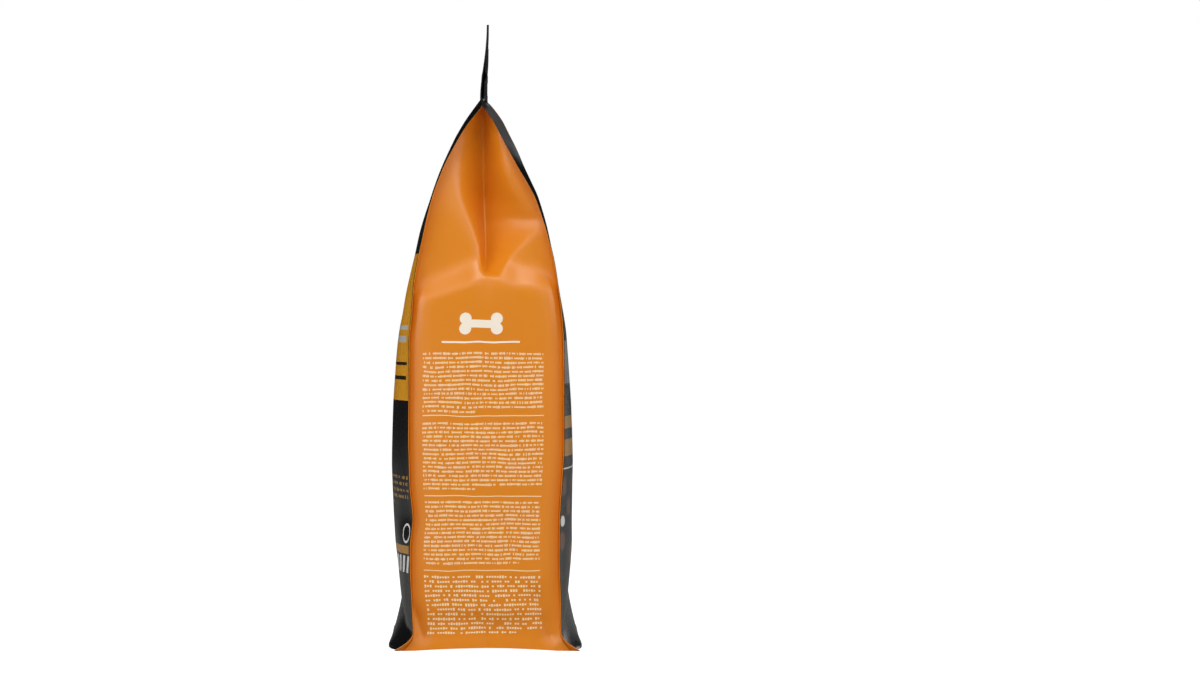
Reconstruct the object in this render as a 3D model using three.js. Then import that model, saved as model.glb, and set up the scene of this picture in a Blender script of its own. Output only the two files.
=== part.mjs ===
import * as THREE from "three";

// Filled and sealed quad-seal film bag with tucked side gussets and a flat bottom.
// Millimetres, +Z up. The front panel faces -Y and the gussets face -X and +X.
// The origin is under the middle of the base.

// Film widths between the corner seals
const PANEL_WIDTH = 218; // front panel and back panel
const GUSSET_WIDTH = 100; // side gusset laid flat
const SEAL_FIN = 6; // how far each corner seal stands out
const SEAL_THICKNESS = 0.8; // panel and gusset film sealed together

// Heights above the base
const BAG_HEIGHT = 403; // top edge of the closure
const CLOSURE_HEIGHT = 48; // flat closure above the point where the gussets shut
const HEM_HEIGHT = 13; // sealed band round the bottom of the bag
const WAIST_HEIGHT = 37; // hollow in the panels above the skirt
const BELLY_HEIGHT = 118; // where the filling pushes the panels out most
const SHOULDER_HEIGHT = 215; // where the panels start to lean together
const FILL_HEIGHT = 250; // top of the filling, where the gussets tuck in

// How far a panel stands beyond its corner seals. The filling pushes the back panel out more.
const FRONT_BULGE = { waist: 6, belly: 9, shoulder: 4 };
const BACK_BULGE = { waist: 8, belly: 12, shoulder: 6.8 };
const SKIRT_FLARE = 13; // both panels at the foot

// Other bulges and hollows, measured across the film
const GUSSET_BULGE = 2.5; // filled gusset beyond its seals
const FOOT_RECESS = 11; // gusset behind its corners along the base
const PANEL_RECESS = 4; // panel behind its corners along the base
const GUSSET_SLACK = 0.5; // how far a full gusset stays short of its flat half width
const SEAL_DENT = 2.6; // corner seal pulled in from the hem to the dent height
const DENT_HEIGHT = 82;
const FOOT_SPREAD = 6.5; // corner seal swept out to the foot
const SKIRT_FULLNESS = 7; // exponents of a panel's section: 2 is a round arch, more is squarer
const BELLY_FULLNESS = 2.6;
const NECK_FULLNESS = 2;
const TUCK_RISE = 22; // height over which the gusset goes from full to tucked
const FOLD_SHARPNESS = 1.6; // 1 is a plain V, more keeps the gusset's borders flatter

// Closure
const CLOSURE_THICKNESS = 3.4; // four loose layers of film where the gussets shut
const TOP_SEAL_THICKNESS = 1.4; // the same layers pressed together
const TOP_SEAL_HEIGHT = 14;
const ZIP_HEIGHT = 33; // press-to-close strip below the top edge
const ZIP_WIDTH = 7;
const ZIP_RIDGE = 0.7;
const NECK_LEAN = 1.8; // foot of the closure behind the middle
const TOP_LEAN = 1.5; // top edge forward of the middle
const FOLD_GROOVE = 2.5; // groove down each closed edge, between the folded layers

// Corner seals that fold over
const FOOT_SEAL_TURN = -1.4; // radians, outward at the foot
const TOP_SEAL_TURN = 1; // radians, inward over the tuck, front seals only
const TURN_BELOW_CLOSURE = 26; // where a front seal is folded over most
const TURN_END = 3; // where it stands straight again below the closure

// Steps of the mesh round a quarter of the bag
const PANEL_STEPS = 9;
const GUSSET_STEPS = 9;

const closureStart = BAG_HEIGHT - CLOSURE_HEIGHT;
const gussetHalf = GUSSET_WIDTH / 2;
const panelHalf = PANEL_WIDTH / 2;
const sealHalfDepth = gussetHalf - GUSSET_SLACK;

const { lerp, smoothstep } = THREE.MathUtils;

// A smooth value at height z from [height, value] pairs, level at each pair.
function eased(pairs, z) {
  if (z <= pairs[0][0]) return pairs[0][1];
  for (let i = 1; i < pairs.length; i++) {
    const [low, from] = pairs[i - 1];
    const [high, to] = pairs[i];
    if (z <= high) return lerp(from, to, smoothstep(z, low, high));
  }
  return pairs[pairs.length - 1][1];
}

// Half the thickness of the closed film above the gussets.
function closureHalf(z) {
  const pressed = BAG_HEIGHT - TOP_SEAL_HEIGHT;
  const half = eased([[closureStart, CLOSURE_THICKNESS / 2], [pressed, TOP_SEAL_THICKNESS / 2]], z);
  const fromZip = Math.abs(z - (BAG_HEIGHT - ZIP_HEIGHT));
  return half + ZIP_RIDGE * (1 - smoothstep(fromZip, 0, ZIP_WIDTH / 2));
}

// Half the depth of the bag at its corner seals.
function sealDepth(z) {
  if (z >= closureStart) return closureHalf(z);
  if (z > SHOULDER_HEIGHT) {
    const t = (z - SHOULDER_HEIGHT) / (closureStart - SHOULDER_HEIGHT);
    return lerp(CLOSURE_THICKNESS / 2, sealHalfDepth, 1 - t * t);
  }
  const side = eased([[DENT_HEIGHT, sealHalfDepth - SEAL_DENT], [BELLY_HEIGHT, sealHalfDepth]], z);
  return side + FOOT_SPREAD * footSweep(z);
}

// How far a corner seal has opened out into its foot: 0 at the hem's top, 1 at the base.
function footSweep(z) {
  return Math.max(0, 1 - z / HEM_HEIGHT) ** 2;
}

// Film can't stretch: this share of a bulge squared is what a panel loses in width.
const ARCH_SHORTENING = 8 / 3;

// How far the middle of a panel stands beyond the corner seals.
function panelBulge(z, front) {
  const bulge = front ? FRONT_BULGE : BACK_BULGE;
  return eased([[0, -PANEL_RECESS], [HEM_HEIGHT / 2, SKIRT_FLARE], [WAIST_HEIGHT, bulge.waist],
    [BELLY_HEIGHT, bulge.belly], [SHOULDER_HEIGHT, bulge.shoulder], [closureStart, 0]], z);
}

// How squarely a panel fills out towards its seals.
function panelFullness(z) {
  return eased([[HEM_HEIGHT, SKIRT_FULLNESS], [BELLY_HEIGHT, BELLY_FULLNESS],
    [SHOULDER_HEIGHT, NECK_FULLNESS]], z);
}

// Where the corner seal starts: a bulging panel draws its seals together.
function sealReach(z, front) {
  const rise = panelBulge(z, front) / PANEL_WIDTH;
  return panelHalf * (1 - ARCH_SHORTENING * rise * rise);
}

// How deep the gusset is folded in behind its seals.
function tuckDepth(z) {
  const depth = sealDepth(z);
  const folded = Math.sqrt(Math.max(0, gussetHalf ** 2 - depth ** 2));
  return folded * smoothstep(z, FILL_HEIGHT - TUCK_RISE / 2, FILL_HEIGHT + TUCK_RISE / 2);
}

// How far the middle of the filled gusset stands beyond its seals.
function gussetBulge(z) {
  return eased([[0, -FOOT_RECESS], [HEM_HEIGHT, -GUSSET_BULGE], [BELLY_HEIGHT, GUSSET_BULGE],
    [FILL_HEIGHT, 0]], z);
}

// Angle of a corner seal from straight out: below zero it turns away from the gusset.
function sealTurn(z, front) {
  const top = front ? TOP_SEAL_TURN : 0;
  const folded = eased([[FILL_HEIGHT, 0], [closureStart - TURN_BELOW_CLOSURE, top],
    [closureStart - TURN_END, 0]], z);
  return FOOT_SEAL_TURN * footSweep(z) + folded;
}

// How far the section at height z stands behind the middle of the base.
function lean(z) {
  return eased([[FILL_HEIGHT, 0], [closureStart, NECK_LEAN], [BAG_HEIGHT, -TOP_LEAN]], z);
}

// A quarter of the section at height z, from the middle of a panel to the middle of a gusset.
// Points are [across, deep], both from the bag's middle. An open section has its tuck.
function quarter(z, front, open) {
  const reach = sealReach(z, front);
  const depth = sealDepth(z);
  const bulge = panelBulge(z, front);
  const fullness = panelFullness(z);
  const points = [];
  for (let i = 0; i <= PANEL_STEPS; i++) {
    const t = Math.sin((i / PANEL_STEPS) * Math.PI / 2);
    points.push([reach * t, depth + bulge * (1 - t ** fullness)]);
  }
  const turn = open ? sealTurn(z, front) : 0;
  const along = [Math.cos(turn), -Math.sin(turn)];
  const inward = [-Math.sin(turn), -Math.cos(turn)];
  const tip = [reach + SEAL_FIN * along[0], depth + SEAL_FIN * along[1]];
  const inner = Math.min(SEAL_THICKNESS, depth / 2);
  points.push(tip, [tip[0] + inner * inward[0], tip[1] + inner * inward[1]]);
  if (!open) {
    for (let i = 0; i <= GUSSET_STEPS; i++) {
      const t = (i + 1) / (GUSSET_STEPS + 1);
      points.push([tip[0] - FOLD_GROOVE * Math.sin((t * Math.PI) / 2), (depth - inner) * (1 - t)]);
    }
    return points;
  }
  const root = [reach + inner * inward[0], depth + inner * inward[1]];
  const tuck = tuckDepth(z);
  const puff = gussetBulge(z);
  for (let i = 0; i <= GUSSET_STEPS; i++) {
    const t = i / GUSSET_STEPS;
    points.push([root[0] + puff * (1 - (1 - t) ** 2) - tuck * t ** FOLD_SHARPNESS, root[1] * (1 - t)]);
  }
  return points;
}

// The whole section, anticlockwise from above, starting at the middle of the front panel.
function section(z, open = true) {
  const front = quarter(z, true, open);
  const back = quarter(z, false, open);
  const place = (points, sideX, sideY) =>
    points.map(([x, y]) => new THREE.Vector3(sideX * x, sideY * y + lean(z), z));
  return [
    ...place(front, 1, -1),
    ...place(back, 1, 1).reverse().slice(1),
    ...place(back, -1, 1).slice(1),
    ...place(front, -1, -1).reverse().slice(1, -1),
  ];
}

function levels(from, to, count) {
  return Array.from({ length: count }, (_, i) => lerp(from, to, (i + 1) / count));
}

// One closed mesh through the sections, shut by a flat base and a flat top edge.
function loft(sections) {
  const size = sections[0].length;
  const corners = sections.flat();
  const faces = [];
  const addFace = (a, b, c) => {
    const apart = (p, q) => corners[p].distanceTo(corners[q]) > 1e-3;
    if (apart(a, b) && apart(b, c) && apart(c, a)) faces.push(a, b, c);
  };
  for (let s = 0; s + 1 < sections.length; s++)
    for (let i = 0; i < size; i++) {
      const here = s * size + i;
      const next = s * size + ((i + 1) % size);
      addFace(here, next, next + size);
      addFace(here, next + size, here + size);
    }
  const cap = (ring) =>
    THREE.ShapeUtils.triangulateShape(ring.map((p) => new THREE.Vector2(p.x, p.y)), []);
  for (const [a, b, c] of cap(sections[0])) addFace(c, b, a);
  const top = size * (sections.length - 1);
  for (const [a, b, c] of cap(sections[sections.length - 1])) addFace(top + a, top + b, top + c);
  const geometry = new THREE.BufferGeometry().setFromPoints(corners);
  geometry.setIndex(faces);
  geometry.computeVertexNormals();
  return geometry;
}

function bagSections() {
  const tuckStart = FILL_HEIGHT - TUCK_RISE / 2;
  const tuckEnd = FILL_HEIGHT + TUCK_RISE / 2;
  const filled = [0, ...levels(0, HEM_HEIGHT, 6), ...levels(HEM_HEIGHT, WAIST_HEIGHT, 4),
    ...levels(WAIST_HEIGHT, BELLY_HEIGHT, 6), ...levels(BELLY_HEIGHT, tuckStart, 7)];
  const turnMiddle = closureStart - TURN_BELOW_CLOSURE;
  const tucked = [...levels(tuckStart, tuckEnd, 6), ...levels(tuckEnd, turnMiddle, 8),
    ...levels(turnMiddle, closureStart, 11)];
  const zip = BAG_HEIGHT - ZIP_HEIGHT;
  const closed = [closureStart, ...levels(closureStart, zip - ZIP_WIDTH / 2, 2),
    ...levels(zip - ZIP_WIDTH / 2, zip + ZIP_WIDTH / 2, 4), BAG_HEIGHT - TOP_SEAL_HEIGHT, BAG_HEIGHT];
  return [
    ...[...filled, ...tucked].map((z) => section(z)),
    ...closed.map((z) => section(z, false)),
  ];
}

const filmFinish = new THREE.MeshStandardMaterial({
  color: 0xd9852a,
  roughness: 0.38,
  metalness: 0,
});

const bag = new THREE.Mesh(loft(bagSections()), filmFinish);
bag.name = "bag";

const part = new THREE.Group();
part.add(bag);

export default part;
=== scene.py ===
"""A filled pet food bag of printed film, standing on a white floor.

The bag is five webs of film: two panels, two side gussets and a bottom. Each web starts as a grid of
places on its flat film, in millimetres, and they are carried to where the filled bag holds them. The print
on the panels and gussets is laid out on the same flat film.
"""
import math

import bpy
import numpy as np
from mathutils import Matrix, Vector


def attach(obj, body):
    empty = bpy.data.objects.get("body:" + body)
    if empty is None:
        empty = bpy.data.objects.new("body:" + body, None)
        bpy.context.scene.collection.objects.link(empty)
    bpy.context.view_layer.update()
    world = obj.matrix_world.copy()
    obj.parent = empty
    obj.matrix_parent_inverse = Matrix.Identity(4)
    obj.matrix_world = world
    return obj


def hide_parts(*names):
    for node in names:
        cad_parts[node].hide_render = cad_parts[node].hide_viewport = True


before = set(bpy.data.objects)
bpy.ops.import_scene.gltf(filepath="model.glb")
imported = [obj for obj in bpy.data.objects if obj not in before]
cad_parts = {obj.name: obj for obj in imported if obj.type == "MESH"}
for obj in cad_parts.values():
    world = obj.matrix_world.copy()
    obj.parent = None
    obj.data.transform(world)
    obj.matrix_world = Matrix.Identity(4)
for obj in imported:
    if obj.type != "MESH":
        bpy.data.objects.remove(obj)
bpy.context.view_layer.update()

MM = 0.001

# Flat film, in millimetres
PANEL_HALF = 109.0  # middle of a panel to a corner seal
GUSSET_HALF = 50.0  # middle of a gusset to a corner seal
FIN = 6.0  # corner seal, beyond the film of the bag itself
PANEL_EDGE, GUSSET_EDGE = PANEL_HALF + FIN, GUSSET_HALF + FIN
BAG_HEIGHT = 403.0
FILM = 0.35  # drawn thicker than the real 0.13 mm, so that each web holds as a shell

# Heights
HEM_TOP = 12.5  # sealed band round the bottom
SHOULDER = 200.0  # the seals start to lean together
CLOSURE = 355.0  # the gussets are shut from here up
ZIP = 370.0  # press-to-close strip
TOP_SEAL = 389.0  # pressed band along the top edge

# Camera
CAMERA_DISTANCE = 2.2
CAMERA_HEIGHT = 0.202
LENS, SENSOR = 97.3, 36
IMAGE_WIDTH = 1200
AXIS_IN_IMAGE = 485.5  # pixels from the left of the image to the upright axis of the bag


def add_camera():
    place = Vector((-CAMERA_DISTANCE, 0, CAMERA_HEIGHT))
    bpy.ops.object.camera_add(location=place)
    camera = bpy.context.object
    camera.name = "camera"
    sight = Vector((0, 0, CAMERA_HEIGHT)) - place
    camera.rotation_euler = sight.to_track_quat("-Z", "Y").to_euler()
    camera.data.lens = LENS
    camera.data.sensor_width = SENSOR
    camera.data.shift_x = (IMAGE_WIDTH / 2 - AXIS_IN_IMAGE) / IMAGE_WIDTH
    bpy.context.scene.camera = camera


# Smooth curves


def smoothstep(x, low, high):
    t = np.clip((x - low) / (high - low), 0, 1)
    return t * t * (3 - 2 * t)


def eased(pairs, x):
    """A smooth value at x from (place, value) pairs, level at each pair."""
    value = np.full(np.shape(x), float(pairs[0][1]))
    for (low, start), (high, end) in zip(pairs, pairs[1:]):
        value = value + (end - start) * smoothstep(x, low, high)
    return value


def flowing(pairs, x, width):
    """A value at x from (place, value) pairs, with each corner rounded over the given width."""
    places, values = np.array(pairs, float).T
    total = np.zeros(np.shape(x))
    weights = np.hanning(11)[1:-1]
    for step, weight in zip(np.linspace(-0.5, 0.5, len(weights)), weights):
        total = total + weight * np.interp(x + step * width, places, values)
    return total / weights.sum()


def smooth_max(a, b, width):
    return (a + b + np.sqrt((a - b) ** 2 + width**2)) / 2


def smooth_min(a, b, width):
    return (a + b - np.sqrt((a - b) ** 2 + width**2)) / 2


def ripples(x, z, size, height, seed):
    """Shallow waves about as long as size, from a fixed seed."""
    rng = np.random.default_rng(seed)
    total = np.zeros(np.broadcast(x, z).shape)
    for _ in range(9):
        angle, phase = rng.uniform(0, 2 * math.pi, 2)
        length = size * rng.uniform(0.7, 1.6)
        total = total + np.sin((x * math.cos(angle) + z * math.sin(angle)) * 2 * math.pi / length + phase)
    return total * height / 3


def along_curve(share, *curves):
    """For each point, the place at its share of its row's curve. A curve comes as its two coordinates."""
    steps = np.hypot(*(np.diff(curve, axis=1) for curve in curves))
    lengths = np.concatenate([np.zeros((len(steps), 1)), np.cumsum(steps, axis=1)], axis=1)
    found = [np.empty_like(share) for _ in curves]
    for i, length in enumerate(lengths):
        for place, curve in zip(found, curves):
            place[i] = np.interp(share[i] * length[-1], length, curve[i])
    return found


# Panels

# Profiles of a panel, as (height, value) pairs in millimetres.
# seal and middle: how far its corner seals and its middle are from the middle of the bag.
# neck: how far the leaning seals stand out beyond a plain curve. neck_bulge: how far the middle stands
# beyond the seals there. turn: radians that the seals fold in over the gussets. hem: depth on the ground.
# zip: height of the ridge that the press-to-close strip makes. side: 1 for the front, -1 for the back.
# seed: of its waves.
FRONT = {
    "side": 1,
    "seal": [(8, 49.2), (30, 48.9), (58, 47.9), (88, 48.2), (128, 50.9), (185, 50.9), (SHOULDER, 50.6)],
    "neck": [(200, 0), (216, -0.5), (236, -1.1), (262, -0.6), (275, 0.5), (294, 1.8), (303, 1.3),
             (313, 1.0), (323, 1.8), (332, 2.0), (342, 2.8), (351, 1.6), (355.5, 0)],
    "middle": [(0, 55.6), (40, 56.0), (54, 57.2), (64, 57.8), (85, 58.2), (118, 58.9), (160, 57.4),
               (190, 55.2), (SHOULDER, 54.4)],
    "neck_bulge": [(SHOULDER, 3.8), (236, 1.5), (300, 1.0), (CLOSURE, 0)],
    "turn": [(255, 0), (278, 0.22), (291, 0.32), (303, 0.5), (316, 0.85), (327, 1.25), (351, 1.4),
             (355.5, 0)],
    "hem": 62.7,
    "zip": 1.3,
    "seed": 11,
}
BACK = {
    "side": -1,
    "seal": [(14, 47.0), (26, 47.6), (50, 48.9), (70, 48.9), (85, 46.9), (106, 49.2), (135, 50.0),
             (SHOULDER, 49.6)],
    "neck": [(200, 0), (216, -1.2), (236, -0.5), (265, 0), (294, 1.9), (313, 2.6), (332, 2.6), (342, 1.9),
             (351, 0.6), (355.5, 0)],
    "middle": [(0, 57.0), (40, 57.6), (54, 58.6), (64, 60.0), (85, 61.6), (104, 62.5), (118, 62.9),
               (160, 62.3), (190, 60.5), (SHOULDER, 59.4)],
    "neck_bulge": [(SHOULDER, 9.8), (262, 4.4), (300, 2.0), (CLOSURE, 0)],
    "turn": [(255, 0), (290, 0.1), (316, 0.2), (340, 0.5), (351, 0.8), (355.5, 0)],
    "hem": 63.0,
    "zip": 0.2,
    "seed": 12,
}
FOOT_SWEEP = 6.5  # how far the corner seals sweep out to the pointed feet
FOOT_TURN = -1.2  # radians that they turn away from the gusset there
CLOSURE_HALF, TOP_HALF = 1.7, 0.7  # half the thickness of the closed film, at its foot and in its top seal
ZIP_HALF = 3.5
PANEL_STEPS, GUSSET_STEPS = 161, 601  # points on the curve that a row of film is measured along
# The slanting fold that runs from each foot up to the middle of a panel: height and depth at both ends
FOLD_MIDDLE, FOLD_FOOT = (40.0, 55.4), (12.0, 48.3)
FOLD_DROP = 4.2  # how far the panel sinks in at that fold
PANEL_WAVES = (60, 0.35)  # length and height of the shallow waves in a panel
GUSSET_IN_CLOSURE = 59.0  # the folded gussets reach in to this far from the middle
GUSSET_LAYERS = 0.2  # the closure is thinner by this much on each side where they don't reach


def hem_share(z):
    """1 on the ground, falling to 0 at the top of the hem."""
    return np.clip(1 - z / HEM_TOP, 0, 1)


def closure_half(z, panel):
    """Half the thickness of the closed film. The press-to-close strip shows as a ridge in front."""
    half = eased([(CLOSURE, CLOSURE_HALF), (TOP_SEAL, TOP_HALF)], z)
    return half + panel["zip"] * (1 - smoothstep(np.abs(z - ZIP), 0, ZIP_HALF))


def seal_depth(z, panel):
    """How far a panel's corner seals are from the middle of the bag."""
    side = flowing(panel["seal"], z, 14)
    side = side + FOOT_SWEEP * hem_share(z) ** 2
    rise = np.clip((z - SHOULDER) / (CLOSURE - SHOULDER), 0, 1)
    neck = CLOSURE_HALF + (side - CLOSURE_HALF) * (1 - rise**2) + flowing(panel["neck"], z, 6)
    return np.where(z >= CLOSURE, closure_half(z, panel), np.where(z > SHOULDER, neck, side))


def lean(z):
    """How far the bag leans to the back at a height."""
    return eased([(255, 0), (310, 1.1), (CLOSURE, 1.8), (BAG_HEIGHT, -1.5)], z)


def panel_bulge(z, panel):
    """How far the middle of a panel stands beyond its corner seals."""
    side = flowing(panel["middle"], z, 16) - seal_depth(z, panel)
    return np.where(z > SHOULDER, eased(panel["neck_bulge"], z), side)


def panel_depth(t, z, panel):
    """Depth of a panel's outer face, t from 0 at its middle to 1 at a corner seal."""
    seal = seal_depth(z, panel)
    fullness = eased([(40, 4.5), (118, 2.6), (SHOULDER, 2)], z)
    belly = seal + panel_bulge(z, panel) * (1 - t**fullness)
    fold_height = FOLD_MIDDLE[0] + (FOLD_FOOT[0] - FOLD_MIDDLE[0]) * t
    fold_depth = FOLD_MIDDLE[1] + (FOLD_FOOT[1] - FOLD_MIDDLE[1]) * t
    above = np.clip(z - fold_height, -12, None)
    belly = belly - FOLD_DROP * (1 - t**2) * np.exp(-above / 8)
    down = np.clip(1 - (z - 2) / (fold_height - 2), 0, 1.05)
    skirt = fold_depth + (panel["hem"] - fold_depth) * down**1.5 - 0.25 * np.clip(z - fold_height, 0, None)
    folded = smooth_max(belly, skirt, 1.2) - 0.2
    face = belly + (folded - belly) * smoothstep(z, 70, 50)
    return seal + (face - seal) * (1 - t**9)


def seal_reach(z, panel):
    """Where the corner seals start: a bulging panel draws its seals together."""
    rise = np.clip(panel_bulge(z, panel), 0, 12.5) / (2 * PANEL_HALF)
    return PANEL_HALF * (1 - 8 / 3 * rise**2)


def fin_point(along, inset, z, panel):
    """A point of a corner seal: along it from its root, and inset from the panel's outer face."""
    turn = FOOT_TURN * hem_share(z) ** 2 + flowing(panel["turn"], z, 5)
    x = seal_reach(z, panel) + along * np.cos(turn) - inset * np.sin(turn)
    y = seal_depth(z, panel) - along * np.sin(turn) - inset * np.cos(turn)
    return x, y


def place_panel(u, z, panel):
    """Carries flat film to a panel: u across it, seen from outside."""
    t = np.linspace(0, 1, PANEL_STEPS)[None, :]
    rows = z[:, :1]
    share = np.clip(np.abs(u) / PANEL_HALF, 0, 1)
    x, y = along_curve(share, t * seal_reach(rows, panel), panel_depth(t, rows, panel))
    beyond = np.clip(np.abs(u) - PANEL_HALF, 0, None)
    fin_x, fin_y = fin_point(beyond, 0, z, panel)
    x, y = np.where(beyond > 0, fin_x, x), np.where(beyond > 0, fin_y, y)
    waving = (1 - share**4) * smoothstep(z, 60, 90) * smoothstep(z, 350, 320)
    y = y + waving * ripples(u, z * 0.6, *PANEL_WAVES, panel["seed"])
    on_gusset = smoothstep(np.abs(u), GUSSET_IN_CLOSURE - 1, GUSSET_IN_CLOSURE + 1)
    y = y - GUSSET_LAYERS * (1 - on_gusset) * smoothstep(z, CLOSURE - 10, CLOSURE + 10)
    side = panel["side"]
    return np.stack([side * np.sign(u) * x, -side * y + lean(z), z], axis=-1)


# Gussets

# One side gusset, seen from outside, in millimetres, with its right side at positive places.
# shelf: heights where it starts to lean in, across the gusset. shelf_slope and shelf_bend: how steeply,
# and over what height it bends. border: how steeply the strips beside the two seals lean in above it.
# wall: by height, how far out the folded-in film starts, as a share of the half width, at the left and at
# the right. edge: by height, how softly it turns in there. fold_end and end_slope: where the fold runs out
# downwards, across the gusset, and how steeply. creases: dents by the feet, from one place to another, and
# how deep. seed: of its waves.
LEFT_GUSSET = {
    "shelf": [(-50, 226), (-30, 229), (-15, 234), (0, 240), (8, 239), (20, 235), (50, 233)],
    "shelf_slope": [(-50, 0.52), (0, 0.52), (50, 0.55)],
    "shelf_bend": [(-50, 3), (50, 3)],
    "border": (0.05, 0.08),
    "wall": (
        [(240, 0.05), (263, 0.09), (277, 0.19), (293, 0.38), (316, 0.61), (340, 0.75)],
        [(228, 0.2), (240, 0.225), (247, 0.25), (253, 0.335), (258.5, 0.48), (265, 0.67), (272, 0.85),
         (278, 0.93), (284, 0.78), (295, 0.58), (308, 0.49), (330, 0.5), (340, 0.6)],
    ),
    "edge": ([(250, 3.0), (275, 9.0), (300, 13.0)], [(268, 1.6), (292, 7.0)]),
    "fold_end": [(-50, 240), (-15, 246), (0, 247), (6, 243), (12, 238), (50, 234)],
    "end_slope": [(-50, 1.6), (0, 2.0), (50, 2.0)],
    "creases": [((31, 38), (43, 6), 3.4), ((-46, 28), (-39, 6), 2.6)],
    "seed": 3,
}
RIGHT_GUSSET = {
    "shelf": [(-50, 262), (-34, 256), (-18, 250), (-8, 246), (0, 244), (10, 242), (26, 235), (50, 226)],
    "shelf_slope": [(-50, 0.7), (0, 0.6), (50, 0.5)],
    "shelf_bend": [(-50, 4), (0, 6), (50, 10)],
    "border": (0.25, 0.18),
    "wall": (
        [(232, 0.1), (252, 0.3), (283, 0.46), (330, 0.5)],
        [(232, 0.1), (256, 0.36), (283, 0.5), (321, 0.6)],
    ),
    "edge": ([(0, 1.2)], [(0, 4.0)]),
    "fold_end": [(-50, 258), (-20, 250), (0, 246), (20, 242), (50, 234)],
    "end_slope": [(-50, 1.6), (50, 1.6)],
    "creases": [((-36, 34), (-42, 7), 2.0), ((44, 24), (38, 7), 1.6)],
    "seed": 4,
}
# By height, how far the middle of a gusset stands in from its seals: below zero it bulges out
GUSSET_DEPTH = [(0, 9.0), (6.4, 6.2), (7.4, 7.0), (12.5, 4.4), (26, -1.4), (50, -4.0), (118, -5.2),
                (200, -5.6), (235, -6.4), (300, -6.0)]
FOLD_ROUND = 1.2  # how wide the crease along the bottom of the fold is
SLACK = 1.03  # film that a bent strip takes up beyond its straight width
# Close under the closure the fold is drawn shallower than its film allows, so that light reaches into it.
# It is no deeper than this, and this share of the gusset's half width at that height added to it.
FOLD_LIMIT, FOLD_SHARE = 2.2, 0.75
VALLEY, VALLEY_HALF = 0.9, 5  # depth and half width of the dent that the fold leaves below its lower end
CREASE_HALF = 4.5
GUSSET_WAVES = (46, 0.18)  # length and height
HEM_LIFT, LIFT_HALF = 1.5, 46  # the hem arches off the ground between the feet


def outer_face(y, z, half, shape):
    """The part of a gusset that isn't folded in: full below its shelf, a strip beside the seal above it."""
    across = np.clip(np.abs(y) / np.maximum(half, 1e-3), 0, 1)
    squareness = eased([(190, 4.5), (232, 8)], z)
    filled = flowing(GUSSET_DEPTH, z, 3) * (1 - across**squareness)
    above = z - flowing(shape["shelf"], y, 8)
    bend = flowing(shape["shelf_bend"], y, 8)
    slope = flowing(shape["shelf_slope"], y, 6)
    leaning = filled + slope * (above + np.sqrt(above**2 + bend**2) - bend * 0.35) / 2
    left, right = shape["border"]
    border = (left + (right - left) * smoothstep(y, -12, 12)) * (half - np.abs(y))
    return smooth_min(border, leaning, 2.5 * smoothstep(half, 4, 20) + 1e-3)


def crease_depth(y, z, creases):
    """Straight dents in the film, each from one (y, z) to another, and how deep."""
    total = 0.0
    for (y1, z1), (y2, z2), depth in creases:
        run = math.hypot(y2 - y1, z2 - z1)
        along = ((y - y1) * (y2 - y1) + (z - z1) * (z2 - z1)) / run
        aside = ((y - y1) * (z2 - z1) - (z - z1) * (y2 - y1)) / run
        ends = smoothstep(along, -8, 8) * smoothstep(along, run + 5, run - 5)
        total = total + depth * ends * np.exp(-np.sqrt(aside**2 + 0.4) / CREASE_HALF)
    return total


def gusset_inset(y, z, halves, shape):
    """How far the gusset lies behind its seals: y across it from outside, halves its width each side."""
    feet, ends, depths = [], [], []
    for side, half, wall in zip((-1, 1), halves, shape["wall"]):
        foot = flowing(wall, z, 9) * half
        end = outer_face(side * foot, z, half, shape)
        film = GUSSET_HALF - (half - foot) * SLACK
        feet.append(foot)
        ends.append(end)
        depths.append(end + np.sqrt(np.clip(film**2 - foot**2, 0, None)))
    deepest = smooth_min(sum(depths) / 2, FOLD_LIMIT + FOLD_SHARE * sum(halves) / 2, 2.0)
    half, foot, end = (np.where(y < 0, *pair) for pair in (halves, feet, ends))
    rounding = FOLD_ROUND * smoothstep(half, 2, 14) + 1e-3
    away = np.sqrt(y**2 + rounding**2) - rounding
    run = np.sqrt(foot**2 + rounding**2) - rounding
    wall = end + (deepest - end) * (1 - away / np.maximum(run, 1e-3))
    below = flowing(shape["fold_end"], y, 5) - z
    wall = wall - flowing(shape["end_slope"], y, 8) * (below + np.sqrt(below**2 + 9)) / 2
    left_edge, right_edge = (flowing(pairs, z, 8) for pairs in shape["edge"])
    edge = left_edge + (right_edge - left_edge) * smoothstep(y, -5, 5)
    inset = smooth_max(outer_face(y, z, half, shape), wall, edge * smoothstep(half, 2, 16) + 1e-3)
    valley = VALLEY * np.exp(-((y / VALLEY_HALF) ** 2)) * smoothstep(z, 214, 240) * smoothstep(z, 262, 246)
    across = np.clip(np.abs(y) / np.maximum(half, 1e-3), 0, 1)
    waving = (1 - across**3) * smoothstep(z, 300, 200) * smoothstep(z, 5, 30)
    waves = waving * ripples(y, z * 0.7, *GUSSET_WAVES, shape["seed"])
    return inset + valley + crease_depth(y, z, shape["creases"]) + waves


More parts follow.
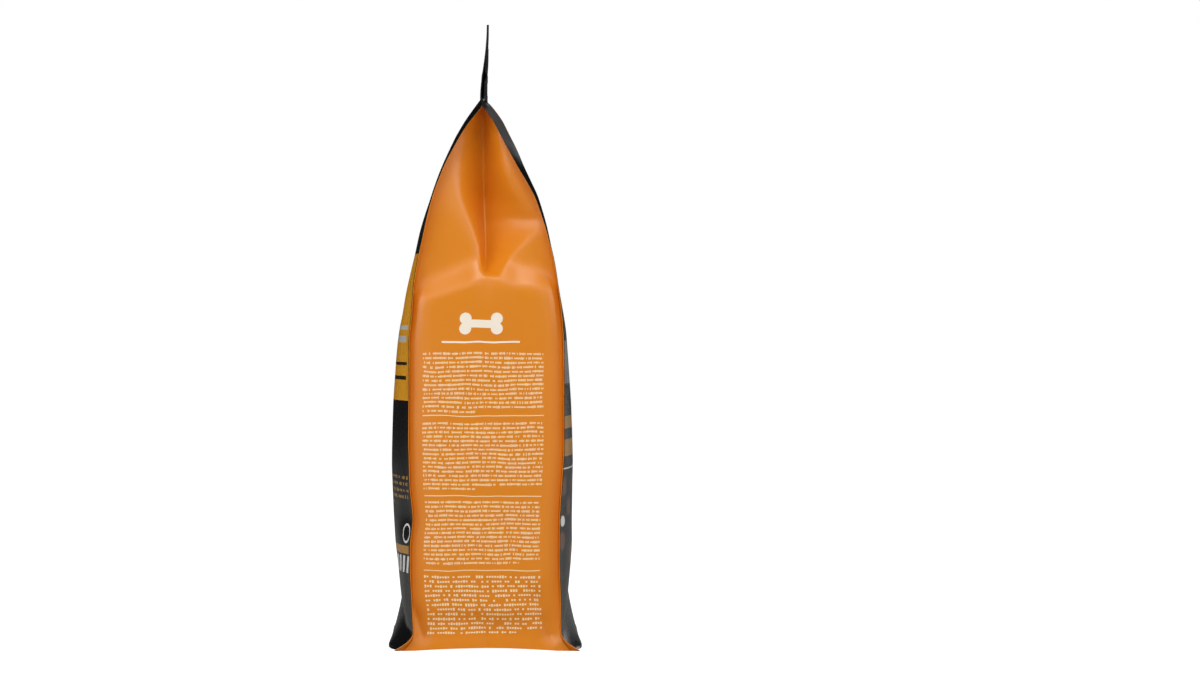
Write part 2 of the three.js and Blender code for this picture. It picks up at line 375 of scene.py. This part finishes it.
def place_gusset(u, z, left_panel, right_panel, shape):
    """Carries flat film to the gusset between two panels: u across it, seen from outside."""
    rows = z[:, :1]
    left = fin_point(0, 2 * FILM, rows, left_panel)
    right = fin_point(0, 2 * FILM, rows, right_panel)
    steps = np.linspace(0, 1, GUSSET_STEPS)[None, :]
    y = -left[1] + (left[1] + right[1]) * steps
    outward = left[0] + (right[0] - left[0]) * steps - gusset_inset(y, rows, (left[1], right[1]), shape)
    outward[:, :1], outward[:, -1:] = left[0], right[0]
    share = np.clip((u + GUSSET_HALF) / (2 * GUSSET_HALF), 0, 1)
    across, out = along_curve(share, y, outward)
    beyond = np.clip(np.abs(u) - GUSSET_HALF, 0, None)
    left_fin = fin_point(beyond, 2 * FILM, z, left_panel)
    right_fin = fin_point(beyond, 2 * FILM, z, right_panel)
    on_left, on_right = u < -GUSSET_HALF, u > GUSSET_HALF
    across = np.where(on_left, -left_fin[1], np.where(on_right, right_fin[1], across))
    out = np.where(on_left, left_fin[0], np.where(on_right, right_fin[0], out))
    lift = HEM_LIFT * (1 - np.clip(np.abs(across) / LIFT_HALF, 0, 1) ** 2) * hem_share(z)
    side = left_panel["side"]
    return np.stack([side * out, side * across + lean(z), z + lift], axis=-1)


# Bottom
BOTTOM_HEIGHT = 1.2  # the bottom film hangs just clear of the floor, inside the hem
BOTTOM_RECESS = 7.9  # its ends draw in to the gussets' hem


def place_bottom(u, v):
    """Carries the bottom film to its place: u along the panels, v across the gussets."""
    height = np.full(u.shape, BOTTOM_HEIGHT)
    t = np.clip(np.abs(u) / PANEL_HALF, 0, 1)
    front, back = (panel_depth(t, height, panel) - FILM for panel in (FRONT, BACK))
    y = -v / GUSSET_HALF * np.where(v > 0, front, back)
    recess = BOTTOM_RECESS * (1 - np.clip(np.abs(y) / GUSSET_HALF, 0, 1) ** 4.5)
    return np.stack([u * (1 - recess / PANEL_HALF), y, height], axis=-1)


# Making a web
SMOOTH_ANGLE = 50  # degrees: folds are shaded round, and the film's cut edges stay sharp


def spaced(*stops):
    """Places along a film from (place, step) pairs: each step holds up to the next place."""
    places = [stops[0][0]]
    for (start, step), (end, _) in zip(stops, stops[1:]):
        places += list(np.linspace(start, end, round((end - start) / step) + 1)[1:])
    return np.array(places)


def make_web(name, columns, rows, place):
    """A web of film: a flat grid of its own size, carried to place and given its thickness."""
    bpy.ops.object.select_all(action="DESELECT")
    cells = {"x_subdivisions": len(columns) - 1, "y_subdivisions": len(rows) - 1}
    bpy.ops.mesh.primitive_grid_add(size=1, calc_uvs=True, **cells)
    web = bpy.context.object
    web.name = web.data.name = name
    mesh = web.data
    u, v = np.meshgrid(columns, rows)
    mesh.vertices.foreach_set("co", (place(u, v) * MM).ravel())
    mesh.update()
    flat = np.stack([(u - u.min()) / np.ptp(u), (v - v.min()) / np.ptp(v)], axis=-1).reshape(-1, 2)
    wall = web.modifiers.new("film", "SOLIDIFY")
    wall.thickness = FILM * MM
    wall.offset = -1
    bpy.ops.object.modifier_apply(modifier=wall.name)
    mesh.uv_layers[0].name = "OFBake"
    corner = np.empty(len(mesh.loops), np.int32)
    mesh.loops.foreach_get("vertex_index", corner)
    # The inner side's map is a hair smaller, so that the film's cut edge has a width on it
    inner = 0.5 + (flat - 0.5) * 0.998
    both = np.concatenate([flat, inner])[corner]
    mesh.uv_layers["OFBake"].data.foreach_set("uv", both.astype(np.float32).ravel())
    bpy.ops.object.shade_smooth_by_angle(angle=math.radians(SMOOTH_ANGLE))
    return web


# Nodes


def linear(hex_colour):
    """An sRGB hex colour as linear red, green, blue and alpha."""
    parts = [int(hex_colour[i : i + 2], 16) / 255 for i in (1, 3, 5)]
    return [p / 12.92 if p <= 0.04045 else ((p + 0.055) / 1.055) ** 2.4 for p in parts] + [1.0]


def add(tree, kind, inputs=(), **settings):
    """Adds a node. Inputs come in order or by name: a value, a socket, or the node that feeds it."""
    node = tree.nodes.new("ShaderNode" + kind)
    for key, value in settings.items():
        setattr(node, key, value)
    for key, value in inputs.items() if isinstance(inputs, dict) else enumerate(inputs):
        if isinstance(value, bpy.types.Node):
            value = value.outputs[0]
        if isinstance(value, bpy.types.NodeSocket):
            tree.links.new(value, node.inputs[key])
        else:
            node.inputs[key].default_value = value
    return node


def film_places(tree, width):
    """Millimetres on the flat film from its lower middle: across, up, and both together."""
    uv = add(tree, "UVMap", uv_map="OFBake")
    moved = (uv, (width, BAG_HEIGHT, 0), (-width / 2, 0, 0))
    places = add(tree, "VectorMath", moved, operation="MULTIPLY_ADD")
    apart = add(tree, "SeparateXYZ", (places,))
    return apart.outputs[0], apart.outputs[1], places


# Shapes of ink


def box_mask(tree, u, v, left, right, bottom, top, slant=0):
    """1 inside a box, and 0 outside. A slanted box leans to the right by that share of its height."""
    if slant:
        above = add(tree, "Math", (v, (bottom + top) / 2), operation="SUBTRACT")
        u = add(tree, "Math", (above, -slant, u), operation="MULTIPLY_ADD")
    wide = add(tree, "Math", (u, (left + right) / 2, (right - left) / 2), operation="COMPARE")
    high = add(tree, "Math", (v, (bottom + top) / 2, (top - bottom) / 2), operation="COMPARE")
    return add(tree, "Math", (wide, high), operation="MULTIPLY")


def disc_mask(tree, places, centre, radius, squeeze=1.0):
    """1 inside a disc, or an oval that is squeezed upright."""
    scaled = (places, (1, 1 / squeeze, 0), (-centre[0], -centre[1] / squeeze, 0))
    moved = add(tree, "VectorMath", scaled, operation="MULTIPLY_ADD")
    length = add(tree, "VectorMath", (moved,), operation="LENGTH").outputs["Value"]
    return add(tree, "Math", (length, radius), operation="LESS_THAN")


def any_of(tree, masks):
    total = masks[0]
    for mask in masks[1:]:
        total = add(tree, "Math", (total, mask), operation="MAXIMUM")
    return total


MARKS_IN_A_WORD = 7
MARK_WIDTH = 0.74  # share of a mark's cell that is inked
TALL_MARKS = 0.3  # share of the marks that stand taller
MARK_HALF, TALLER = 0.19, 0.09  # half the height of a mark, and what a tall one has more, in rows


def line_mask(tree, u, v, left, right, top, pitch, rows, last, mark, gaps):
    """Rows of broken marks that form no letters, in groups as long as words.

    pitch is from row to row, last is where the last row ends, mark is from mark to mark, and gaps is
    the share of marks left out.
    """
    row = add(tree, "Math", (v, -1 / pitch, top / pitch), operation="MULTIPLY_ADD")
    index = add(tree, "Math", (row,), operation="FLOOR")
    in_row = add(tree, "Math", (row,), operation="FRACT")
    column = add(tree, "Math", (u, 1 / mark, -left / mark), operation="MULTIPLY_ADD")
    cell = add(tree, "Math", (column,), operation="FLOOR")
    in_cell = add(tree, "Math", (column,), operation="FRACT")
    spot = add(tree, "CombineXYZ", (cell, index, top))
    chance = add(tree, "TexWhiteNoise", (spot,), noise_dimensions="3D")
    word = add(tree, "Math", (cell, 1 / MARKS_IN_A_WORD), operation="MULTIPLY")
    word_spot = add(tree, "CombineXYZ", (add(tree, "Math", (word,), operation="FLOOR"), index, top + 0.5))
    word_chance = add(tree, "TexWhiteNoise", (word_spot,), noise_dimensions="3D")
    gap_at = add(tree, "Math", (word_chance, MARKS_IN_A_WORD), operation="MULTIPLY")
    in_word = add(tree, "Math", (cell, MARKS_IN_A_WORD), operation="FLOORED_MODULO")
    from_gap = add(tree, "Math", (in_word, gap_at), operation="SUBTRACT")
    gap = add(tree, "Math", (from_gap, 0, 0.5), operation="COMPARE")
    tall = add(tree, "Math", (chance, TALL_MARKS), operation="LESS_THAN")
    half_height = add(tree, "Math", (tall, TALLER, MARK_HALF), operation="MULTIPLY_ADD")
    is_last = add(tree, "Math", (index, rows - 1.5), operation="GREATER_THAN")
    end = add(tree, "Math", (is_last, last - right, right), operation="MULTIPLY_ADD")
    shown = box_mask(tree, u, v, left, right, top - pitch * rows, top)
    for part in (
        add(tree, "Math", (1, gap), operation="SUBTRACT"),
        add(tree, "Math", (chance, 1 - gaps), operation="LESS_THAN"),
        add(tree, "Math", (in_row, 0.5, half_height), operation="COMPARE"),
        add(tree, "Math", (in_cell, MARK_WIDTH), operation="LESS_THAN"),
        add(tree, "Math", (u, end), operation="LESS_THAN"),
    ):
        shown = add(tree, "Math", (shown, part), operation="MULTIPLY")
    return shown


def bone_marks(tree, places, u, v, middle, height, half, thick, knob):
    """A plain bone: a bar with two round ends at each side."""
    marks = [box_mask(tree, u, v, middle - half, middle + half, height - thick, height + thick)]
    for side in (-half, half):
        for up in (-1, 1):
            marks.append(disc_mask(tree, places, (middle + side, height + up * knob * 0.85), knob))
    return marks


# Inks
ORANGE, BLACK, OCHRE, CREAM, FINE_PRINT = "#E2871B", "#0B0B0C", "#F7AC28", "#FBEEDC", "#F8DDB2"
GOLD, SILVER, BROWN, PALE_GREY, WHITE = "#B9873A", "#A9ACAE", "#6B4630", "#D5D2CC", "#EDEDEA"
TABLE_INK, DARK_BROWN = "#2A2724", "#2A1D08"


def painted(tree, base, layers):
    """The film's colour: each layer is (mask, hex colour), the last on top."""
    factor, under, over, result = 0, 6, 7, 2  # the colour sockets of a Mix node
    colour = linear(base)
    for mask, ink in layers:
        inks = {factor: mask, under: colour, over: linear(ink)}
        colour = add(tree, "Mix", inks, data_type="RGBA").outputs[result]
    return colour


# Films
GRAIN = 2.2  # faint orange peel of the laminate, drawn coarser than the real one so that it shows
CLOUDS = 30  # broad unevenness that the laminating leaves in the sheen
GRAIN_STRENGTH, GRAIN_HEIGHT = 0.06, 0.4
RIB_STRENGTH, RIB_HEIGHT = 0.5, 0.3
BLACK_ROUGHNESS, ORANGE_ROUGHNESS = 0.26, 0.31  # the panels' film is the glossier
SHEEN_BELOW, SHEEN_ABOVE = 0.03, 0.04  # how far the unevenness takes the roughness down and up
FILM_IOR = 1.49
PRINT_DRIFT, DRIFT_LENGTH = 2.4, 22  # how far rows of print wander up and down, and over what length
RIB = 1.6  # pressed ribs of the top seal, drawn coarser than the real 1 mm so that they show


def new_material(name):
    material = bpy.data.materials.new(name)
    material.use_nodes = True
    material.node_tree.nodes.clear()
    return material, material.node_tree


def finish_film(tree, colour, places, roughness, ribs=None):
    """Polyester film, printed on its inner face and laminated to polyethylene.

    The ink lies under the clear film, so it takes a satin sheen all over, and the laminating leaves that
    sheen faintly uneven.
    """
    fine = add(tree, "TexNoise", {"Vector": places, "Scale": 1 / GRAIN, "Detail": 2.0})
    broad = add(tree, "TexNoise", {"Vector": places, "Scale": 1 / CLOUDS, "Detail": 1.0})
    sheen = add(tree, "MapRange", (broad, 0.3, 0.7, roughness - SHEEN_BELOW, roughness + SHEEN_ABOVE))
    bump = add(tree, "Bump", {"Height": fine, "Strength": GRAIN_STRENGTH, "Distance": GRAIN_HEIGHT * MM})
    if ribs:
        pressed = {"Height": ribs, "Strength": RIB_STRENGTH, "Distance": RIB_HEIGHT * MM, "Normal": bump}
        bump = add(tree, "Bump", pressed)
    film = {"Base Color": colour, "Roughness": sheen, "IOR": FILM_IOR, "Normal": bump}
    add(tree, "OutputMaterial", (add(tree, "BsdfPrincipled", film),))


def gusset_film(name, draw):
    """Orange film for a gusset, black in the closure, with fine print that wanders a little."""
    material, tree = new_material(name)
    u, v, places = film_places(tree, 2 * GUSSET_EDGE)
    drift = add(tree, "TexNoise", {"Vector": places, "Scale": 1 / DRIFT_LENGTH, "Detail": 1.0})
    lowered = add(tree, "Math", (v, 0.5 * PRINT_DRIFT), operation="SUBTRACT")
    wavy = add(tree, "Math", (drift, PRINT_DRIFT, lowered), operation="MULTIPLY_ADD")
    header = add(tree, "Math", (v, CLOSURE - 4), operation="GREATER_THAN")
    layers = draw(tree, u, wavy, places) + [(header, BLACK)]
    finish_film(tree, painted(tree, ORANGE, layers), places, ORANGE_ROUGHNESS)
    return material


def panel_film(name, draw=None):
    """Black film for a panel, with its print and the pressed ribs of the top seal.

    The bottom takes the same film without print. Its pattern keeps the panels' size and so comes out finer
    on it, which isn't seen, because that side faces the floor.
    """
    material, tree = new_material(name)
    u, v, places = film_places(tree, 2 * PANEL_EDGE)
    along = add(tree, "Math", (v, math.pi / RIB), operation="MULTIPLY")
    wave = add(tree, "Math", (along,), operation="SINE")
    pressed = box_mask(tree, u, v, -PANEL_EDGE, PANEL_EDGE, TOP_SEAL + 2, BAG_HEIGHT - 2)
    ribs = add(tree, "Math", (wave, pressed), operation="MULTIPLY")
    colour = linear(BLACK)
    if draw:
        out = add(tree, "Math", (u,), operation="ABSOLUTE")
        # The print ends just short of the corner seals, which stay black
        edges = add(tree, "Math", (out, PANEL_HALF - 1.5), operation="GREATER_THAN")
        colour = painted(tree, BLACK, draw(tree, u, v, places) + [(edges, BLACK)])
    finish_film(tree, colour, places, BLACK_ROUGHNESS, ribs)
    return material


# Prints, in millimetres from the lower middle of the film
GUSSET_BONE = (10, 2.4, 3.8)  # half length, half thickness and knob
PANEL_BONE = (34, 9, 13)


def small_print(tree, u, v, places):
    """Left gusset: a bone over four ruled blocks of fine print."""
    cream = bone_marks(tree, places, u, v, -3.5, 211, *GUSSET_BONE)
    cream.append(box_mask(tree, u, v, -28, 21, 198.5, 199.7))
    left, right = -40, 36
    fine = [box_mask(tree, u, v, left, right, rule, rule + 0.55) for rule in (151.4, 99.6, 51.8)]
    for top, pitch, rows, last, mark, gaps in (
        (193, 2.86, 14, -7, 0.8, 0.08),
        (148, 2.80, 16, -7, 0.8, 0.08),
        (97.2, 2.78, 15, 22, 0.8, 0.08),
        (49.3, 3.02, 13, 19, 1.7, 0.15),
    ):
        fine.append(line_mask(tree, u, v, left, right, top, pitch, rows, last, mark, gaps))
    return [(any_of(tree, cream), CREAM), (any_of(tree, fine), FINE_PRINT)]


def tables(tree, u, v, places):
    """Right gusset: a bone over three ruled tables, rows of fine print and a panel of bars."""
    head, pitch, gaps = 4.8, 3.1, 0.15
    heads, fields, ink, cream = [], [], [], []
    for left, right, top, low in (
        (-36.5, 38.5, 196.8, 171),
        (-37, 38, 154.3, 125.7),
        (-39.5, 39.5, 108, 82.3),
    ):
        heads.append(box_mask(tree, u, v, left, right, top - head, top))
        fields.append(box_mask(tree, u, v, left, right, low, top - head))
        rows = round((top - 6 - low) / pitch)
        for start, end in (
            (left + 2, left + 22),
            (left + 26, left + 34),
            (left + 38, left + 60),
            (left + 63, right - 2),
        ):
            ink.append(line_mask(tree, u, v, start, end, top - 5.6, pitch, rows, end, 0.9, gaps))
        cream.append(line_mask(tree, u, v, left + 8, right - 8, low - 2.4, 2.3, 5, right - 30, 0.85, gaps))
    for left, right, top, pitch, rows, last in (
        (-39.5, 39.5, 62.4, 2.58, 8, 6),
        (4, 38, 36.5, 2.5, 2, 30),
        (4, 38, 20.5, 2.5, 4, 22),
    ):
        cream.append(line_mask(tree, u, v, left, right, top, pitch, rows, last, 0.9, gaps))
    cream += bone_marks(tree, places, u, v, 0, 214, *GUSSET_BONE)
    cream.append(box_mask(tree, u, v, -24, 24, 202, 203.2))
    panel = box_mask(tree, u, v, -39.5, -1, 10.3, 39.2)
    bar = 0.55
    cell = add(tree, "Math", (add(tree, "Math", (u, 1 / bar), operation="MULTIPLY"),), operation="FLOOR")
    chance = add(tree, "TexWhiteNoise", {"W": cell}, noise_dimensions="1D")
    inked = add(tree, "Math", (chance, 0.5), operation="LESS_THAN")
    bars = add(tree, "Math", (inked, box_mask(tree, u, v, -36, -4.5, 13, 37)), operation="MULTIPLY")
    return [(any_of(tree, cream), CREAM), (any_of(tree, fields), PALE_GREY), (any_of(tree, heads), BLACK),
            (any_of(tree, ink), TABLE_INK), (panel, WHITE), (bars, BLACK)]


def front_print(tree, u, v, places):
    """Front panel: a large bone, a row of slanted bars, two gold bars and scattered brown discs."""
    silver = [box_mask(tree, u, v, left, left + 9, 172, 200, 0.3) for left in range(-106, 96, 14)]
    gold = [box_mask(tree, u, v, -105, 60, 143, 151), box_mask(tree, u, v, -105, 20, 125, 136)]
    scattered = ((-97, 105), (-99, 70), (-78, 92), (-60, 108), (-42, 84), (-22, 104), (-4, 78), (18, 100),
                 (38, 82), (58, 104), (76, 86), (96, 102), (-70, 60), (-30, 56), (8, 52), (46, 58),
                 (84, 62))
    brown = [disc_mask(tree, places, centre, 7.5, 0.8) for centre in scattered]
    white = [disc_mask(tree, places, (-98, 83), 6, 0.6), box_mask(tree, u, v, -105, 105, 116.6, 117.6)]
    white += bone_marks(tree, places, u, v, 0, 255, *PANEL_BONE)
    return [(any_of(tree, silver), SILVER), (any_of(tree, gold), GOLD), (any_of(tree, brown), BROWN),
            (any_of(tree, white), WHITE)]


def back_print(tree, u, v, places):
    """Back panel: an ochre field with ruled lines, rows of gold marks, a ring and slanted bars."""
    field = box_mask(tree, u, v, -107, 107, 161, 256.6)
    pale = [box_mask(tree, u, v, -60, 96, 207, 210), box_mask(tree, u, v, -60, 93, 199, 203)]
    dark = [box_mask(tree, u, v, -90, 97, 184, 186), box_mask(tree, u, v, -90, 95, 174.5, 177)]
    gold = [line_mask(tree, u, v, -100, 103, 113, 4.2, 5, 70, 2.6, 0.2)]
    gold.append(box_mask(tree, u, v, -20, 103, 61.7, 66.9))
    ring = [disc_mask(tree, places, (96, 75), radius, 0.8) for radius in (8, 6.2)]
    white = [add(tree, "Math", ring, operation="SUBTRACT")]
    white += [box_mask(tree, u, v, left, left + 5, 49.5, 60.4, 0.35) for left in (58, 68, 78, 88, 98)]
    return [(field, OCHRE), (any_of(tree, pale), PALE_GREY), (any_of(tree, dark), DARK_BROWN),
            (any_of(tree, gold), GOLD), (any_of(tree, white), WHITE)]


# Stage

# Each light: its place, how high on the bag's axis it aims, its size, all in metres, and its power in watts
LIGHTS = {
    "key": ((-1.7, -1.6, 1.2), 0.2, (3.0, 2.2), 21),
    "fill": ((-1.7, 1.5, 1.1), 0.2, (2.6, 2.2), 15),
    "front": ((-1.9, 0.0, 1.35), 0.2, (1.8, 1.4), 5),
    "top": ((-1.3, 0.0, 1.7), 0.2, (0.6, 0.4), 7),
    "front_side": ((-0.9, -2.1, 0.8), 0.2, (2.2, 1.5), 18),
    "back_side": ((-1.2, 2.0, 0.8), 0.2, (2.2, 1.5), 24),
    "foot_rim": ((0.9, -0.65, 0.22), 0.1, (0.3, 0.3), 0.45),
    "far_gusset": ((1.3, 0.0, 1.9), 0.2, (1.2, 1.2), 8),
}
FLOOR_SIZE = 12
FLOOR_GREY = "#A8A8A6"
WORLD_LIGHT = 0.015


def add_area_light(name, place, aim, size, power):
    bpy.ops.object.light_add(type="AREA", location=place)
    light = bpy.context.object
    light.name = name
    light.data.shape = "RECTANGLE"
    light.data.size, light.data.size_y = size
    light.data.energy = power
    light.rotation_euler = (Vector((0, 0, aim)) - Vector(place)).to_track_quat("-Z", "Y").to_euler()


def add_floor():
    """White paper sweep: matt and even, and overexposed to plain white. Its grey dims what it bounces."""
    bpy.ops.object.select_all(action="DESELECT")
    bpy.ops.mesh.primitive_plane_add(size=FLOOR_SIZE, location=(0, 0, 0))
    floor = bpy.context.object
    floor.name = "floor"
    material, tree = new_material("white_paper_sweep")
    card = add(tree, "BsdfPrincipled", {"Base Color": linear(FLOOR_GREY), "Roughness": 0.9})
    direct = add(tree, "LightPath").outputs["Is Camera Ray"]
    glow = add(tree, "Emission", (linear("#FFFFFF"), direct))
    add(tree, "OutputMaterial", (add(tree, "AddShader", (card, glow)),))
    floor.data.materials.append(material)


def add_world():
    """White where the camera sees it, and nearly dark for the light that it sheds."""
    world = bpy.data.worlds.new("studio")
    bpy.context.scene.world = world
    world.use_nodes = True
    tree = world.node_tree
    tree.nodes.clear()
    seen = add(tree, "Background", (linear("#FFFFFF"), 1.0))
    lit = add(tree, "Background", (linear("#FFFFFF"), WORLD_LIGHT))
    direct = add(tree, "LightPath").outputs["Is Camera Ray"]
    add(tree, "OutputWorld", (add(tree, "MixShader", (direct, lit, seen)),))
    bpy.context.scene.view_settings.view_transform = "Standard"


# Making
add_camera()
add_floor()
add_world()
for name, light in LIGHTS.items():
    add_area_light(name, *light)

# Steps along each film, finer beside the seals, in the hem, in the tuck and at the fold
panel_columns = spaced((-PANEL_EDGE, 0.75), (-103, 2.4), (103, 0.75), (PANEL_EDGE, 0))
panel_rows = spaced((0, 0.8), (16, 1.2), (70, 2.4), (350, 1.0), (BAG_HEIGHT, 0))
gusset_columns = spaced((-GUSSET_EDGE, 0.6), (-44, 1.25), (-4, 0.4), (4, 1.25), (44, 0.6), (GUSSET_EDGE, 0))
gusset_rows = spaced((0, 0.6), (16, 2.0), (224, 0.8), (300, 1.2), (CLOSURE, 1.6), (BAG_HEIGHT, 0))
bottom_columns = spaced((-PANEL_HALF, 2.0), (PANEL_HALF, 0))
bottom_rows = spaced((-GUSSET_HALF, 1.6), (GUSSET_HALF, 0))

places_on_bag = {
    "front_panel": (panel_columns, panel_rows, lambda u, v: place_panel(u, v, FRONT)),
    "back_panel": (panel_columns, panel_rows, lambda u, v: place_panel(u, v, BACK)),
    "left_gusset": (
        gusset_columns, gusset_rows, lambda u, v: place_gusset(u, v, BACK, FRONT, LEFT_GUSSET),
    ),
    "right_gusset": (
        gusset_columns, gusset_rows, lambda u, v: place_gusset(u, v, FRONT, BACK, RIGHT_GUSSET),
    ),
    "bottom_panel": (bottom_columns, bottom_rows, place_bottom),
}
films = {
    "front_panel": panel_film("laminated_polyester_film_front_print", front_print),
    "back_panel": panel_film("laminated_polyester_film_back_print", back_print),
    "left_gusset": gusset_film("laminated_polyester_film_small_print", small_print),
    "right_gusset": gusset_film("laminated_polyester_film_tables", tables),
    "bottom_panel": panel_film("laminated_polyester_film_plain_black"),
}
for name, film in films.items():
    web = make_web(name, *places_on_bag[name])
    web.data.materials.append(film)
    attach(web, "root")
    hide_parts("bag")
